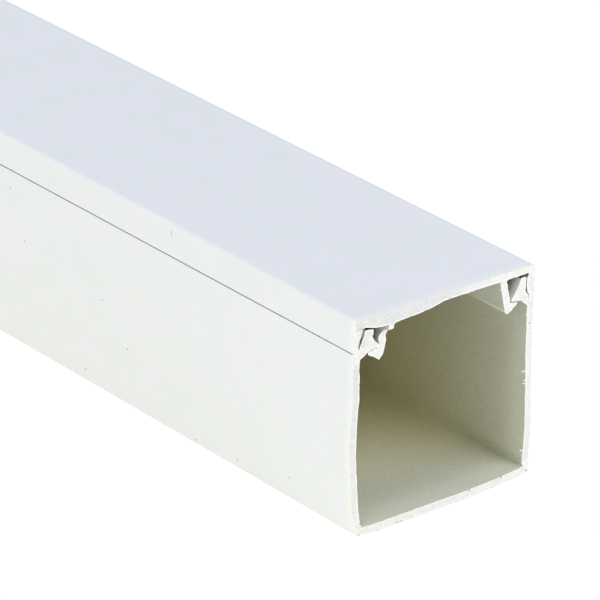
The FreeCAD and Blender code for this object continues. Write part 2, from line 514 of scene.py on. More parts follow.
# Plastic that the saw dragged along at the near end: middle of the place, its half size, and the shift.
SAW_DRAGS = {
    "channel": {
        "corner of the floor and the left wall": ((-18.65, 1.4), (0.55, 0.5), (0.0, -0.3)),
        "nose on the left rail": ((-16.35, 37.1), (0.6, 0.5), (-0.1, 0.0)),
        "notch under the nose": ((-16.4, 36.35), (0.6, 0.42), (-0.28, 0.0)),
        "lead-in of the left barb": ((-15.9, 35.7), (0.9, 1.1), (-0.5, 0.0)),
        "outer face of the left rail": ((-18.2, 35.7), (0.7, 1.35), (-0.62, 0.0)),
        "outer corner of the left rail's top": ((-18.1, 37.4), (0.5, 0.9), (-0.2, 0.0)),
        "root of the left rail": ((-18.8, 34.1), (0.4, 0.5), (-0.11, 0.0)),
        "left shoulder": ((-19.7, 33.5), (1.1, 0.3), (0.0, 0.06)),
        "right shoulder": ((19.7, 33.5), (1.1, 0.3), (0.0, 0.06)),
    },
    "lid": {
        "lip under the plate": ((-9.5, 38.6), (9.0, 1.6), (0.0, -0.5)),
        "underside of the left hook": ((-15.3, 32.6), (1.9, 1.3), (0.0, -0.75)),
        "tip of the left hook": ((-16.2, 33.5), (0.7, 0.5), (-0.7, 0.0)),
        "top of the left hook": ((-15.6, 33.75), (1.0, 0.35), (0.0, -0.24)),
        "toe of the left leg": ((-14.0, 31.7), (0.7, 0.5), (-0.45, -0.3)),
        "left leg at the barb": ((-14.2, 35.7), (0.8, 1.15), (-0.5, 0.0)),
        "left leg under the stub": ((-12.7, 36.0), (0.6, 1.3), (-0.42, 0.0)),
        "right face of the stub": ((-12.0, 38.0), (0.7, 1.0), (-0.4, 0.0)),
        "top of the left skirt, inside": ((-18.5, 37.4), (0.6, 1.3), (0.2, 0.0)),
        "edge of the left skirt, inside": ((-18.9, 34.9), (0.5, 0.8), (-0.18, 0.0)),
        "inside of the right skirt": ((18.6, 36.2), (0.6, 2.0), (-0.4, 0.0)),
        "left skirt": ((-19.7, 33.75), (1.1, 0.5), (0.0, -0.08)),
        "right skirt": ((19.7, 33.75), (1.1, 0.5), (0.0, -0.08)),
    },
}


def dragged(points, drags):
    """Shift of each (across, up) point by the plastic that the saw dragged along."""
    shift = np.zeros_like(points)
    for middle, size, way in drags.values():
        off = (points - np.array(middle) * MM) / (np.array(size) * MM)
        share = smooth(1 - off[:, 0] ** 4 - off[:, 1] ** 2)
        shift += share[:, None] * np.array(way) * MM
    return shift


def grain(points, size, seed):
    """Smooth noise from -1 to 1 at (across, up) points, with features of about the given size."""
    at = np.column_stack([points / size, np.full(len(points), 7.3 * seed)])
    return np.array([noise.noise(Vector(p)) for p in at])


def ragged(points, cut, seed):
    """How far a sawn edge strays from its line, coarse and fine."""
    coarse = grain(points, 2.6 * MM, seed) * 0.5
    fine = grain(points, 0.8 * MM, seed + 1) * 0.8
    finest = grain(points, 0.6 * MM, seed + 2) * 1.8
    splinters = np.maximum(grain(points, 0.6 * MM, seed + 3) - 0.25, 0) * 4
    return (coarse + fine + finest + splinters) * cut.rag


def tooth_lines(points, cut, seed):
    """Relief of a sawn face: leaning lines left by the teeth, broken up by grain."""
    across = points @ np.array(TOOTH_DIRECTION)
    wave = np.sin(across / (TOOTH_RADIAN * MM) + 2.5 * grain(points, 5 * MM, seed))
    return (0.6 * wave + 1.1 * grain(points, 0.5 * MM, seed + 3)) * cut.tooth_marks


# Meshes

def inside(points, outline):
    """Which points lie inside the closed outline."""
    y, z = points[:, 0][:, None], points[:, 1][:, None]
    a, b = outline, np.roll(outline, -1, axis=0)
    spans = (a[:, 1] > z) != (b[:, 1] > z)
    rise = np.where(b[:, 1] == a[:, 1], 1e-12, b[:, 1] - a[:, 1])
    crossing = a[:, 0] + (z - a[:, 1]) * (b[:, 0] - a[:, 0]) / rise
    return (spans & (y < crossing)).sum(1) % 2 == 1


def gaps_to(points, outline, points_at_once=1000):
    """Distance from each point to the nearest point of the outline."""
    gaps = []
    for block in np.array_split(points, max(1, len(points) // points_at_once)):
        gaps.append(np.linalg.norm(block[:, None, :] - outline[None, :, :], axis=2).min(1))
    return np.concatenate(gaps)


def face_grid(outline, step, row_share=0.87, edge_share=0.6):
    """Points spread in staggered rows over the inside of an outline, clear of its edge."""
    low, high = outline.min(0), outline.max(0)
    rows = np.arange(low[1], high[1], step * row_share)
    found = []
    for row, z in enumerate(rows):
        y = np.arange(low[0] + step * 0.5 * (row % 2), high[0], step)
        found.append(np.column_stack([y, np.full(len(y), z)]))
    grid = np.concatenate(found)
    grid = grid[inside(grid, outline)]
    return grid[gaps_to(grid, outline) > step * edge_share]


def face_triangles(outline, step, merge=1e-5):
    """Inner points and triangles of a sawn face. Indexes below the outline's count are its own points."""
    grid = face_grid(outline, step)
    flat = [Vector(p) for p in np.concatenate([outline, grid]) / MM]
    last = len(outline) - 1
    edges = [(k, k + 1) for k in range(last)] + [(last, 0)]
    points, _, faces, origins, *_ = geometry.delaunay_2d_cdt(flat, edges, [], 0, merge, True)
    where = [origin[0] for origin in origins]
    middles = [sum((Vector(points[corner]) for corner in face), Vector((0, 0))) / 3 for face in faces]
    kept = inside(np.array(middles) * MM, outline)
    return grid, [[where[corner] for corner in face] for face, keep in zip(faces, kept) if keep]


def ring_distances(half_length, cut):
    """Distances of the rings from an end, growing towards the middle of the stock."""
    found = [0.0]
    step = cut.first_ring
    while found[-1] + step < half_length:
        found.append(found[-1] + step)
        step *= cut.ring_growth
    found[-1] = half_length
    return np.array(found)


def end_rings(outline, cut, outward, cut_at, drags, seed, lip_grain=0.45 * MM, lip_reach=0.5 * MM):
    """Rings of points from a sawn end to the middle of the stock."""
    half_length = CHANNEL_BOX[1].x
    shift = dragged(outline, drags)
    from_middle = outline - outline.mean(0)
    lip = grain(outline, lip_grain, seed + 5)[:, None] * from_middle
    lip *= cut.lip / np.maximum(np.linalg.norm(from_middle, axis=1)[:, None], MM)
    stand_out = cut_at(outline[:, 0], outline[:, 1]) + ragged(outline, cut, seed)
    low = (CHANNEL_BOX[0].y, CHANNEL_BOX[0].z)
    high = (CHANNEL_BOX[1].y, LID_BOX[1].z)
    rings = []
    for distance in ring_distances(half_length, cut):
        wander = max(0.0, 1 - distance / cut.wander_reach) ** 2
        drag = max(0.0, 1 - distance / cut.drag_reach) ** 2
        edge = max(0.0, 1 - distance / lip_reach) ** 2
        section = np.clip(outline + shift * drag + lip * edge, low, high)
        x = outward * (half_length - distance + stand_out * wander)
        rings.append(np.column_stack([x, section]))
    return rings


def sliver(cut_at, across, height, length, rise, width):
    """Points and faces of one thin blade that hangs to the left of its root, from millimetres."""
    stand_out = float(cut_at(np.array([across * MM]), np.array([height * MM]))[0])
    x = CHANNEL_BOX[1].x + stand_out
    half = width / 2
    back = -SLIVER_THICKNESS
    root = [(back, -half), (-SLIVER_SET_BACK, -half), (0, half), (back, half)]
    points = [(x + dx * MM, across * MM, (height + dz) * MM) for dx, dz in root]
    bend_length, bend_rise = SLIVER_BEND
    bend_out, tip_out = SLIVER_STAND_OUT
    bend = []
    for dx, dz in root:
        bend_height = height + 0.5 * dz + bend_rise * rise
        bend.append((x + (dx + bend_out) * MM, (across - bend_length * length) * MM, bend_height * MM))
    tip = (x + tip_out * MM, (across - length) * MM, (height + rise) * MM)
    faces = [(3, 2, 1, 0)]
    for k in range(4):
        after = (k + 1) % 4
        faces.append((k, after, after + 4, k + 4))
        faces.append((k + 4, after + 4, 8))
    return [*points, *bend, tip], faces


def extruded_mesh(name, corners, cut, near_cut, drags, seed, blades=()):
    """The mesh of one extrusion: rings along the length, a sawn face at each end, and its blades."""
    outline = outline_points(corners, cut.outline_step)
    near = end_rings(outline, cut, 1, near_cut, drags, seed)
    far = end_rings(outline, cut, -1, far_cut, {}, seed + 20)
    rings = near + far[::-1][1:]
    count = len(outline)
    points = list(np.concatenate(rings))
    faces = []
    for ring in range(len(rings) - 1):
        for k in range(count):
            a, b = ring * count + k, ring * count + (k + 1) % count
            faces.append((a, b, b + count, a + count))
    skin_faces = len(faces)
    ends = ((1, 0, near[0], near_cut), (-1, (len(rings) - 1) * count, far[0], far_cut))
    for outward, first, ring, cut_at in ends:
        edge = ring[:, 1:]
        grid, triangles = face_triangles(edge, cut.face_step)
        relief = tooth_lines(grid, cut, seed + outward)
        x = outward * (CHANNEL_BOX[1].x + cut_at(grid[:, 0], grid[:, 1]) + relief)
        start = len(points)
        points.extend(np.column_stack([x, grid]))
        for face in triangles:
            faces.append(tuple(first + c if c < count else start + c - count for c in face))
    for blade_points, blade_faces in blades:
        start = len(points)
        points.extend(blade_points)
        faces.extend(tuple(start + c for c in face) for face in blade_faces)
    mesh = bpy.data.meshes.new(name)
    mesh.from_pydata([tuple(p) for p in points], [], faces)
    add_skin_map(mesh, outline, len(rings), skin_faces)
    blade_points = sum(len(blade[0]) for blade in blades)
    add_cut_distances(mesh, near[0][:, 1:], ring_distances(CHANNEL_BOX[1].x, cut), blade_points)
    return mesh, skin_faces


def add_cut_distances(mesh, cut_outline, distances, blade_points):
    """Distance of each point of the skin from the cut, and of each other point from the duct's rim."""
    skin_points = len(cut_outline) * (2 * len(distances) - 1)
    from_cut = np.zeros(len(mesh.vertices), dtype=np.float32)
    from_cut[:skin_points] = np.repeat([*distances, *distances[-2::-1]], len(cut_outline))
    rim = np.array([point for point in cut_outline if not on_outside(*point, LID_BOX[1].z)])
    section = np.array([v.co[1:] for v in mesh.vertices])
    from_rim = gaps_to(section, rim).astype(np.float32)
    # The slivers get the full paler burr colour: painted light on faces that lie in shade.
    from_rim[len(from_rim) - blade_points:] = 0
    mesh.attributes.new("from_cut", "FLOAT", "POINT").data.foreach_set("value", from_cut)
    mesh.attributes.new("from_rim", "FLOAT", "POINT").data.foreach_set("value", from_rim)


def add_skin_map(mesh, outline, ring_count, skin_faces):
    """A map in metres: along the stock, and round its section. On the sawn faces it is across and up."""
    gaps = np.linalg.norm(np.roll(outline, -1, axis=0) - outline, axis=1)
    around = np.concatenate([[0], np.cumsum(gaps)])
    count = len(outline)
    points = np.array([v.co for v in mesh.vertices])
    layer = mesh.uv_layers.new(name="skin")
    loops = np.zeros((len(mesh.loops), 2))
    for polygon in mesh.polygons:
        corners = list(polygon.vertices)
        for at, loop in enumerate(polygon.loop_indices):
            x, y, z = points[corners[at]]
            if polygon.index < skin_faces:
                k = polygon.index % count
                loops[loop] = (x, around[k + (at in (1, 2))])
            else:
                loops[loop] = (y, z)
    layer.uv.foreach_set("vector", loops.astype(np.float32).ravel())


def finish_piece(mesh, name, body, nodes, materials, sharp_angle=math.radians(38)):
    """An object from the mesh, with its materials, that rides on its body and stands for its nodes."""
    mesh.validate()
    mesh.update()
    piece = bpy.data.objects.new(name, mesh)
    bpy.context.scene.collection.objects.link(piece)
    for material in materials:
        mesh.materials.append(material)
    mesh.polygons.foreach_set("use_smooth", [True] * len(mesh.polygons))
    mesh.set_sharp_from_angle(angle=sharp_angle)
    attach(piece, body)
    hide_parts(*nodes)


def on_outside(y, z, top, side_reach=0.45 * MM, back_reach=0.4 * MM, top_reach=0.6 * MM):
    """True for a face on the outer sides, the back or the lid's top."""
    return abs(y) > CHANNEL_BOX[1].y - side_reach or z < back_reach or z > top - top_reach


def in_seam(y, z, sizes, mouth=0.12 * MM, past_root=0.1 * MM, below_edge=0.2 * MM, over_edge=0.05 * MM):
    """True for a face between the skirt's edge and the channel's shoulder."""
    depth = CHANNEL_BOX[1].y - abs(y)
    edge = LID_BOX[1].z - sizes.skirt_height
    return mouth < depth < sizes.rail_root_depth + past_root and edge - below_edge < z < edge + over_edge


def in_pocket(y, z, sizes, below_tip=0.2 * MM, past_leg=0.3 * MM):
    """True for an inner face between the skirt and the lid's leg, over the barb's tip."""
    tip, _ = barb_points(sizes)
    leg_face = tip[0] + LEG_CLEARANCE + (z - tip[1]) * math.tan(sizes.leg_lean)
    return z > tip[1] - below_tip and CHANNEL_BOX[1].y - abs(y) < leg_face + past_leg


def over_rail(y, z, sizes, below_top=0.12 * MM, past_rail=1.2 * MM):
    """True for the faces between the snap rail's top and the lid's plate, which get painted shade."""
    depth = CHANNEL_BOX[1].y - abs(y)
    rail_inner_depth = sizes.rail_outer_depth + sizes.rail_top_thickness
    return z > CHANNEL_BOX[1].z - below_top and depth < rail_inner_depth + past_rail


def on_toe(y, z, sizes, before_tip=0.5 * MM, lowest=2.5 * MM, highest=1.35 * MM):
    """True for the rounded faces under the lid's legs, which lie below the barb's tip."""
    tip, _ = barb_points(sizes)
    return CHANNEL_BOX[1].y - abs(y) > tip[0] - before_tip and tip[1] - lowest < z < tip[1] - highest


# Places of the six materials on each piece
OUTER, INNER, SAWN, SEAM_SHADE, POCKET_SHADE, TOE_LIGHT = range(6)


def assign_skins(mesh, skin_faces, sizes):
    """Gives each face its material, by where it lies in the section."""
    for polygon in mesh.polygons:
        _, y, z = polygon.center
        if polygon.index >= skin_faces:
            polygon.material_index = SAWN
        elif in_seam(y, z, sizes):
            polygon.material_index = SEAM_SHADE
        elif on_toe(y, z, sizes):
            polygon.material_index = TOE_LIGHT
        elif on_outside(y, z, LID_BOX[1].z):
            polygon.material_index = OUTER
        elif over_rail(y, z, sizes):
            polygon.material_index = SEAM_SHADE
        else:
            polygon.material_index = POCKET_SHADE if in_pocket(y, z, sizes) else INNER


# Materials

# Painted shade inside the duct, in millimetres: darker along its inner corners near the ends and just
# behind its mouth, lighter further in. Each pair is where a change of shade starts and where it ends: by
# distance from an inner corner, by distance behind the cut, and by height.
CORNER_PAINTED_SHADE = (0, 2.2)
CORNER_PAINTED_SHADE_FADE = (10, 30)
MOUTH_FADE = (1.5, 7)
FLOOR_FADE = (8, 20)
WALLS_FADE = (20, 42)
FLOOR_TO_WALLS = (1.5, 3)
DUCT_TO_RAILS = (24, 31)
MOUTH_SHADES = (1.02, 0.9)
DEEP_SHADE = 1.13

# Zones of the sawn faces, in millimetres. Each pair is where a zone starts to show and where it is full.
SAWN_BEND_FADE = 7
# Painted shade on the sawn faces: the legs keep a brighter level, and the left wall darkens towards its
# top.
LEGS_FROM_TOP = (38.4, 38.0)
LEGS_FROM_FOOT = (31.0, 31.6)
LEGS_LEVEL = 0.95
LEFT_WALL_SIDE = (-18.2, -18.5)
LEFT_WALL_FROM_FOOT = (1.5, 2.5)
LEFT_WALL_FROM_TOP = (31.5, 30.5)
LEFT_WALL_SHADE_HEIGHTS = (24, 28)
LEFT_WALL_SHADES = (0.955, 0.885)
BURR_REACH = (0.3, 0.12)
BURR_OVER_FLOOR = (1.6, 2.4)
BURR_SHARES = (0.45, 1.0)
BURR_LEVEL = 1.08

# Place along the stock, in metres, from which it lies outside the photograph.
UNSEEN_FROM = (0.39, 0.38)


class Nodes:
    """Short ways to add and join the nodes of one material."""

    def __init__(self, name):
        self.material = bpy.data.materials.get(name) or bpy.data.materials.new(name)
        self.material.use_nodes = True
        self.tree = self.material.node_tree
        self.tree.nodes.clear()

    def add(self, kind, **settings):
        """A node with its own settings set."""
        node = self.tree.nodes.new(kind)
        for key, value in settings.items():
            setattr(node, key, value)
        return node

    def feed(self, node, **values):
        """Sets or links inputs: n and a number, or a name with its spaces written as underscores."""
        for key, value in values.items():
            numbered = key[0] == "n" and key[1:].isdigit()
            socket = node.inputs[int(key[1:]) if numbered else key.replace("_", " ")]
            if isinstance(value, bpy.types.NodeSocket):
                self.tree.links.new(value, socket)
            else:
                socket.default_value = value
        return node

    def math(self, operation, first, second=0.0):
        """Output of a Math node."""
        node = self.add("ShaderNodeMath", operation=operation)
        self.feed(node, n0=first, n1=second)
        return node.outputs[0]

    def ramp(self, value, low, high, to_low=0.0, to_high=1.0):
        """Output of a smooth Map Range from low..high to to_low..to_high."""
        node = self.add("ShaderNodeMapRange", interpolation_type="SMOOTHSTEP")
        self.feed(node, Value=value, From_Min=low, From_Max=high, To_Min=to_low, To_Max=to_high)
        return node.outputs["Result"]

    def zone(self, value, span, to_low=0.0, to_high=1.0):
        """Ramp over a span that is given in millimetres."""
        return self.ramp(value, span[0] * MM, span[1] * MM, to_low, to_high)

    def noise(self, vector, scale, detail=2.0, rough=0.5, dimensions="3D"):
        """Output of a Noise Texture."""
        node = self.add("ShaderNodeTexNoise", noise_dimensions=dimensions)
        self.feed(node, Vector=vector, Scale=scale, Detail=detail, Roughness=rough)
        return node.outputs["Fac"]

    def stretched(self, vector, scale):
        """The vector with each part multiplied by the scale's."""
        node = self.add("ShaderNodeMapping", vector_type="POINT")
        self.feed(node, Vector=vector, Scale=scale)
        return node.outputs["Vector"]

    def mix(self, share, first, second, blend="MIX"):
        """Output of a colour Mix."""
        node = self.add("ShaderNodeMix", data_type="RGBA", blend_type=blend)
        self.feed(node, n0=share, n6=first, n7=second)
        return node.outputs[2]

    def bump(self, height, distance, strength):
        """Output of a Bump node."""
        node = self.add("ShaderNodeBump")
        self.feed(node, Height=height, Distance=distance, Strength=strength)
        return node.outputs["Normal"]

    def surface(self, colour, roughness, normal):
        """Principled shader and output."""
        shader = self.add("ShaderNodeBsdfPrincipled")
        self.feed(shader, Base_Color=colour, Roughness=roughness, Normal=normal, IOR=1.53)
        out = self.add("ShaderNodeOutputMaterial")
        self.tree.links.new(shader.outputs["BSDF"], out.inputs["Surface"])


def rgba(colour, factor=1.0):
    """The colour times a factor, as four numbers."""
    return (*[channel * factor for channel in colour], 1.0)


def rare_dirt(nodes, skin_map, place):
    """Share of dirt from rare specks, on the part of the stock that the photograph leaves out."""
    cells = nodes.add("ShaderNodeTexVoronoi", voronoi_dimensions="2D")
    nodes.feed(cells, Vector=skin_map, Scale=62.0)
    chosen = nodes.add("ShaderNodeSeparateColor")
    nodes.feed(chosen, Color=cells.outputs["Color"])
    size = nodes.ramp(chosen.outputs["Red"], 0.5, 1.0, -0.004, 0.011)
    split = nodes.add("ShaderNodeSeparateXYZ")
    nodes.feed(split, Vector=place)
    left_out = nodes.ramp(split.outputs["X"], *UNSEEN_FROM)
    dirt = nodes.ramp(nodes.math("SUBTRACT", size, cells.outputs["Distance"]), 0.0, 0.004)
    return nodes.math("MULTIPLY", dirt, left_out)


def marks(nodes, place, ellipsoids):
    """Share of dirt from marks, each given as its middle and its half sizes, all in metres."""
    share = 0.0
    for middle, half_size in ellipsoids:
        scale = [1 / size for size in half_size]
        moved = nodes.add("ShaderNodeMapping", vector_type="POINT")
        nodes.feed(moved, Vector=place, Location=[-m * s for m, s in zip(middle, scale)], Scale=scale)
        far = nodes.add("ShaderNodeVectorMath", operation="LENGTH")
        nodes.feed(far, n0=moved.outputs["Vector"])
        share = nodes.math("MAXIMUM", share, nodes.ramp(far.outputs["Value"], 1.3, 0.7))
    return share


def side_marks(look):
    """The specks on the left side and on the right wall's inner face, and the left skirt's scratch."""
    size = look.speck_size
    side = CHANNEL_BOX[1].y
    specks = [(x, -side, z) for x, z in SIDE_SPECKS]
    specks.append((WALL_SPECK[0], side - CHANNEL_WALL, WALL_SPECK[1]))
    found = [((x * MM, y, z * MM), (size, size, size)) for x, y, z in specks]
    (scratch_x, scratch_z), half_size = SKIRT_SCRATCH
    scratch = ((scratch_x * MM, -side, scratch_z * MM), [part * MM for part in half_size])
    return [*found, scratch]


def cut_marks(places, size):
    """Marks at places on the near cut."""
    return [((CHANNEL_BOX[1].x, y * MM, z * MM), (3 * MM, *size)) for y, z in places]


def duct_painted_shade(nodes, place, from_cut, look):
    """Share of the colour left inside the duct: painted shade behind its mouth and along its inner corners.
    """
    split = nodes.add("ShaderNodeSeparateXYZ")
    nodes.feed(split, Vector=place)
    from_middle = nodes.math("ABSOLUTE", split.outputs["Y"])
    across = nodes.math("SUBTRACT", CHANNEL_BOX[1].y - CHANNEL_WALL, from_middle)
    up = nodes.math("SUBTRACT", split.outputs["Z"], CHANNEL_FLOOR)
    squares = nodes.math("ADD", nodes.math("MULTIPLY", across, across), nodes.math("MULTIPLY", up, up))
    in_corner = nodes.zone(from_cut, CORNER_PAINTED_SHADE_FADE, look.corner_painted_shade, 1.0)
    corners = nodes.zone(nodes.math("SQRT", squares), CORNER_PAINTED_SHADE, in_corner, 1.0)
    mouth = nodes.zone(from_cut, MOUTH_FADE, *MOUTH_SHADES)
    floor = nodes.zone(from_cut, FLOOR_FADE, 1.0, DEEP_SHADE)
    walls = nodes.zone(from_cut, WALLS_FADE, 1.0, DEEP_SHADE)
    mouth = nodes.math("MULTIPLY", mouth, nodes.zone(split.outputs["Z"], FLOOR_TO_WALLS, floor, walls))
    below_rails = nodes.zone(split.outputs["Z"], DUCT_TO_RAILS, mouth, 1.0)
    return nodes.math("MULTIPLY", corners, below_rails)


def blotches(nodes, place):
    """Faint uneven patches, warm and cool, as a colour to multiply by."""
    wide = nodes.ramp(nodes.noise(place, 110.0, 3.0, 0.6), 0.35, 0.65)
    narrow = nodes.ramp(nodes.noise(place, 420.0, 2.0, 0.6), 0.35, 0.65)
    first = nodes.mix(wide, (0.986, 0.994, 0.985, 1.0), (1.006, 0.998, 1.01, 1.0))
    second = nodes.mix(narrow, (1.004, 0.992, 0.988, 1.0), (0.992, 1.004, 1.004, 1.0))
    return nodes.mix(1.0, first, second, "MULTIPLY")


def extruded_plastic(name, end_colour, colour, reach, look, dirt_share, mottle=0.012, with_duct_shade=False):
    """Extruded plastic: one colour at the cut, another past the reach, mottled, with lines and specks."""
    nodes = Nodes(name)
    skin_map = nodes.add("ShaderNodeUVMap", uv_map="skin").outputs["UV"]
    place = nodes.add("ShaderNodeTexCoord").outputs["Object"]
    from_cut = nodes.add("ShaderNodeAttribute", attribute_name="from_cut").outputs["Fac"]
    fine = nodes.noise(place, 900.0, 2.0)
    lines = nodes.noise(nodes.stretched(skin_map, (6.0, 1400.0, 1.0)), 1.0, 2.0, 0.6, "2D")
    wide_lines = nodes.noise(nodes.stretched(skin_map, (2.0, 190.0, 1.0)), 1.0, 1.0, 0.5, "2D")
    base = nodes.mix(nodes.ramp(from_cut, 0.0, reach), rgba(end_colour), rgba(colour))
    base = nodes.mix(1.0, base, blotches(nodes, place), "MULTIPLY")
    base = nodes.mix(nodes.math("MULTIPLY", wide_lines, 0.03), base, (0.6, 0.6, 0.6, 1.0))
    shade = nodes.ramp(nodes.noise(place, 2000.0, 2.0, 0.7), 0.3, 0.7, 1 - mottle, 1 + mottle)
    shade = nodes.math("MULTIPLY", shade, nodes.ramp(from_cut, 0.0, 70 * MM, 1.012, 1.0))
    # Painted shade inside the duct, on the inner skin.
    if with_duct_shade:
        shade = nodes.math("MULTIPLY", shade, duct_painted_shade(nodes, place, from_cut, look))
    scaled = nodes.add("ShaderNodeVectorMath", operation="SCALE")
    nodes.feed(scaled, n0=base, Scale=shade)
    base = scaled.outputs["Vector"]
    spots = nodes.math("MAXIMUM", rare_dirt(nodes, skin_map, place), marks(nodes, place, side_marks(look)))
    base = nodes.mix(nodes.math("MULTIPLY", spots, dirt_share), base, rgba(look.speck))
    uneven = nodes.math("ADD", lines, fine)
    rough = nodes.ramp(uneven, 0.6, 1.4, look.roughness - 0.05, look.roughness + 0.06)
    height = nodes.math("ADD", nodes.math("MULTIPLY", lines, 0.5), nodes.math("MULTIPLY", fine, 0.6))
    normal = nodes.bump(height, 0.02 * MM, 0.5)
    nodes.surface(base, rough, normal)
    return nodes.material


def sawn_plastic(name, look, levels, bend):
    """Cut plastic: rough, with specks, a paler burr, and painted shade in levels left and right of the
    bend.
    """
    nodes = Nodes(name)
    place = nodes.add("ShaderNodeTexCoord").outputs["Object"]
    split = nodes.add("ShaderNodeSeparateXYZ")
    nodes.feed(split, Vector=place)
    across, up = split.outputs["Y"], split.outputs["Z"]
    grain_fine = nodes.noise(place, 2600.0, 3.0, 0.6)
    grain_wide = nodes.noise(place, 700.0, 2.0)
    fade = SAWN_BEND_FADE * MM
    level = nodes.ramp(across, bend * MM - fade, bend * MM + fade, *levels)
    legs = nodes.math("MULTIPLY", nodes.zone(up, LEGS_FROM_TOP), nodes.zone(up, LEGS_FROM_FOOT))
    level = nodes.math("MAXIMUM", level, nodes.math("MULTIPLY", legs, LEGS_LEVEL))
    # Painted shade on the left wall's cut, darker towards its top.
    left_side = nodes.zone(across, LEFT_WALL_SIDE)
    left_wall = nodes.math("MULTIPLY", left_side, nodes.zone(up, LEFT_WALL_FROM_FOOT))
    left_wall = nodes.math("MULTIPLY", left_wall, nodes.zone(up, LEFT_WALL_FROM_TOP))
    left_wall_shade = nodes.zone(up, LEFT_WALL_SHADE_HEIGHTS, *LEFT_WALL_SHADES)
    level = nodes.math("MULTIPLY", level, nodes.ramp(left_wall, 0.0, 1.0, 1.0, left_wall_shade))
    level = nodes.math("MULTIPLY", level, nodes.ramp(grain_wide, 0.3, 0.7, 0.965, 1.025))
    specks = nodes.ramp(nodes.noise(place, 3000.0, 2.0, 0.65), 0.55, 0.68, 0.0, 0.17)
    level = nodes.math("SUBTRACT", level, specks)
    from_rim = nodes.add("ShaderNodeAttribute", attribute_name="from_rim").outputs["Fac"]
    burr = nodes.zone(from_rim, BURR_REACH)
    burr = nodes.math("MULTIPLY", burr, nodes.zone(up, BURR_OVER_FLOOR, *BURR_SHARES))
    paler = nodes.math("SUBTRACT", BURR_LEVEL, level)
    level = nodes.math("ADD", level, nodes.math("MULTIPLY", burr, paler))
    scaled = nodes.add("ShaderNodeVectorMath", operation="SCALE")
    nodes.feed(scaled, n0=look.sawn, Scale=level)
    speck = (look.speck_size, look.speck_size)
    faint = nodes.math("MULTIPLY", marks(nodes, place, cut_marks(FAINT_CUT_SPECKS_AND_BURR_SHADOWS, speck)), 0.3)
    # Dark marks on the cut: part dirt, part painted shadow of tiny burrs.
    bits = nodes.math("MAXIMUM", marks(nodes, place, cut_marks(CUT_SPECKS_AND_BURR_SHADOWS, speck)), faint)
    base = nodes.mix(bits, scaled.outputs["Vector"], rgba(look.speck, 0.5))
    grit = marks(nodes, place, cut_marks(GRIT, (0.4 * MM, 0.2 * MM)))
    base = nodes.mix(nodes.math("MULTIPLY", grit, 0.85), base, rgba(look.grit))
    rough = nodes.ramp(grain_fine, 0.3, 0.7, look.sawn_roughness - 0.1, look.sawn_roughness + 0.1)
    normal = nodes.bump(grain_fine, 0.08 * MM, 0.6)
    nodes.surface(base, rough, normal)
    return nodes.material


def seam_painted_shade(name, colour):
    """Painted shade in the narrow seam, a little uneven along it."""
    nodes = Nodes(name)
    place = nodes.add("ShaderNodeTexCoord").outputs["Object"]
    uneven = nodes.noise(place, 240.0, 2.0)
    base = nodes.mix(nodes.ramp(uneven, 0.4, 0.75), rgba(colour), rgba(colour, 2.2))
    nodes.surface(base, 0.9, nodes.bump(uneven, 0.02 * MM, 0.3))
    return nodes.material


def plastics(look, sawn):
    """The six materials of a piece, in the order of their places."""
    return (
        extruded_plastic("outer_skin", look.skin_rim, look.skin, 2.4 * MM, look, 0.8),
        # Painted shade inside the duct: darker, yellower colours, and the shade along its corners and
        # behind its mouth.
        extruded_plastic("inner_painted_shade", look.inner, look.inner_deep_shade, 40 * MM, look, 0.55, 0.06, True),
        sawn,
        # Painted shade in the seam and over the snap rails.
        seam_painted_shade("seam_painted_shade", look.seam),
        # Painted shade in the pockets round the snap rails.
        extruded_plastic("pocket_painted_shade", look.pocket, look.pocket_deep_shade, 3.2 * MM, look, 0.3, 0.045),
        # Painted light along the toes under the lid's legs.
        extruded_plastic("toe_painted_light", look.toe, look.toe_deep_light, 9 * MM, look, 0.3, 0.045),
    )


def floor_material(stage):
    """Floor that keeps the object's shadow: mostly plain white to the camera, diffuse to the rest."""
    nodes = Nodes("studio_floor")
    paper = nodes.add("ShaderNodeBsdfDiffuse")
    nodes.feed(paper, Color=(0.96, 0.96, 0.92, 1.0))
    white = nodes.add("ShaderNodeEmission")
    nodes.feed(white, Color=(1.0, 1.0, 1.0, 1.0), Strength=1.06)
    paths = nodes.add("ShaderNodeLightPath")
    straight = nodes.math("MAXIMUM", paths.outputs["Is Camera Ray"], paths.outputs["Is Glossy Ray"])
    straight = nodes.math("MAXIMUM", straight, paths.outputs["Is Transmission Ray"])
    mixed = nodes.add("ShaderNodeMixShader")
    nodes.feed(mixed, n0=nodes.math("MULTIPLY", straight, stage.floor_white))
    nodes.tree.links.new(paper.outputs["BSDF"], mixed.inputs[1])
    nodes.tree.links.new(white.outputs["Emission"], mixed.inputs[2])
    out = nodes.add("ShaderNodeOutputMaterial")
    nodes.tree.links.new(mixed.outputs["Shader"], out.inputs["Surface"])
    return nodes.material


# Operators

class RACEWAY_OT_channel(bpy.types.Operator):
    """Makes the channel with its snap rails and sawn ends"""

    bl_idname = "raceway.channel"
    bl_label = "Make channel"

    def execute(self, context):
        settings = context.scene.raceway
        corners = both_sides(channel_half(settings.sizes))
        drags = SAW_DRAGS["channel"]
        blades = [sliver(channel_cut, *numbers) for numbers in WALL_SLIVERS]
        mesh, skin_faces = extruded_mesh(
            "channel_shell", corners, settings.cut, channel_cut, drags, CHANNEL_SEED, blades)
        assign_skins(mesh, skin_faces, settings.sizes)
        sawn = sawn_plastic("sawn_channel", settings.plastic, CHANNEL_SAWN_SHADES, CHANNEL_SAWN_BEND)
        materials = plastics(settings.plastic, sawn)
        finish_piece(mesh, "channel_shell", "channel", ["channel"], materials)
        return {"FINISHED"}


